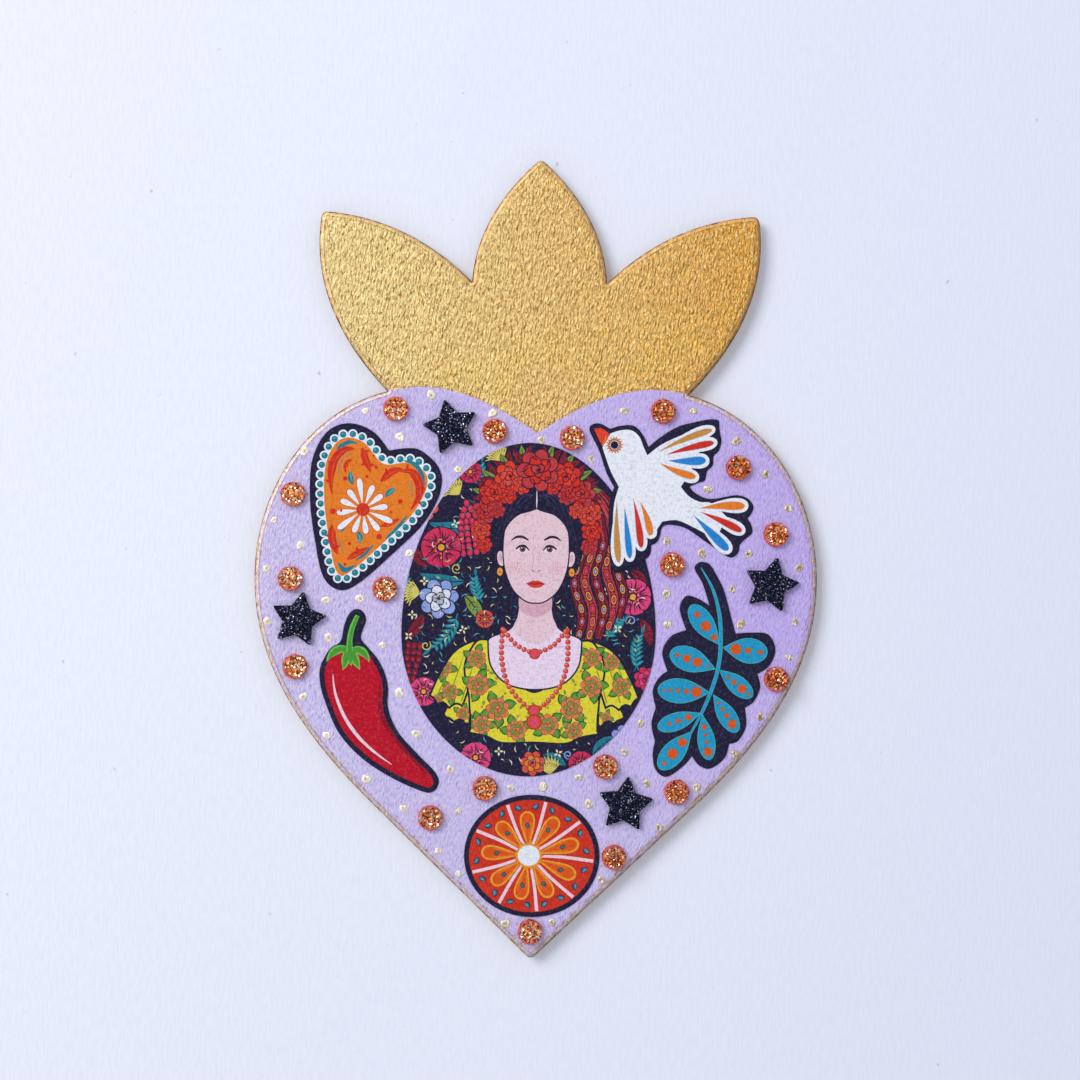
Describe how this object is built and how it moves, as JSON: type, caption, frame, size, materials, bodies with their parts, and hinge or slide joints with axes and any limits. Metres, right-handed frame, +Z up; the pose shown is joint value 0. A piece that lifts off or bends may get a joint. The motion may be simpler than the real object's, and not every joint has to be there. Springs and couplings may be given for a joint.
{
  "type": "heart wall decoration",
  "caption": "Flat heart-shaped hanging board with a three-petal crown, painted and covered with printed cut-outs, glitter foam stars and dots.",
  "frame": {"origin": "the point where the hanger's middle notch sits on the wall nail, in the plane of the wall", "axes": "+Z up as it hangs, +X to the right seen from the front, +Y into the wall, so the front faces -Y"},
  "size_m": [0.1366, 0.0075, 0.194],
  "materials": {
    "mdf": "raw fibreboard back, laser-darkened edge, gilded where it is painted",
    "gold_paint": "metallic gold texture paste, glossy and pebbled",
    "lavender_paint": "brushed texture paint, satin",
    "portrait_print": "printed plain-weave cotton, glued flat",
    "heart_print": "printed plain-weave cotton, glued flat",
    "dove_print": "printed plain-weave cotton, glued flat",
    "chili_print": "printed plain-weave cotton, glued flat",
    "leaf_print": "printed plain-weave cotton, glued flat",
    "citrus_print": "printed plain-weave cotton, glued flat",
    "black_glitter": "foam sheet faced with black glitter",
    "copper_glitter": "foam sheet faced with copper glitter",
    "steel": "plated pressed steel"
  },
  "bodies": {
    "root": {"mdf_board": "mdf", "heart_lavender_coat": "lavender_paint", "crown_gold_coat": "gold_paint", "oval_portrait_print": "portrait_print", "heart_cutout": "heart_print", "dove_cutout": "dove_print", "chili_cutout": "chili_print", "leaf_cutout": "leaf_print", "citrus_cutout": "citrus_print", "glitter_star_1": "black_glitter", "glitter_star_2": "black_glitter", "glitter_star_3": "black_glitter", "glitter_star_4": "black_glitter", "glitter_dot_01": "copper_glitter", "glitter_dot_02": "copper_glitter", "glitter_dot_03": "copper_glitter", "glitter_dot_04": "copper_glitter", "glitter_dot_05": "copper_glitter", "glitter_dot_06": "copper_glitter", "glitter_dot_07": "copper_glitter", "glitter_dot_08": "copper_glitter", "glitter_dot_09": "copper_glitter", "glitter_dot_10": "copper_glitter", "glitter_dot_11": "copper_glitter", "glitter_dot_12": "copper_glitter", "glitter_dot_13": "copper_glitter", "glitter_dot_14": "copper_glitter", "glitter_dot_15": "copper_glitter", "glitter_dot_16": "copper_glitter", "glitter_dot_17": "copper_glitter", "glitter_dot_18": "copper_glitter", "sawtooth_hanger": "steel", "hanger_pin_left": "steel", "hanger_pin_right": "steel"}
  },
  "joints": []
}
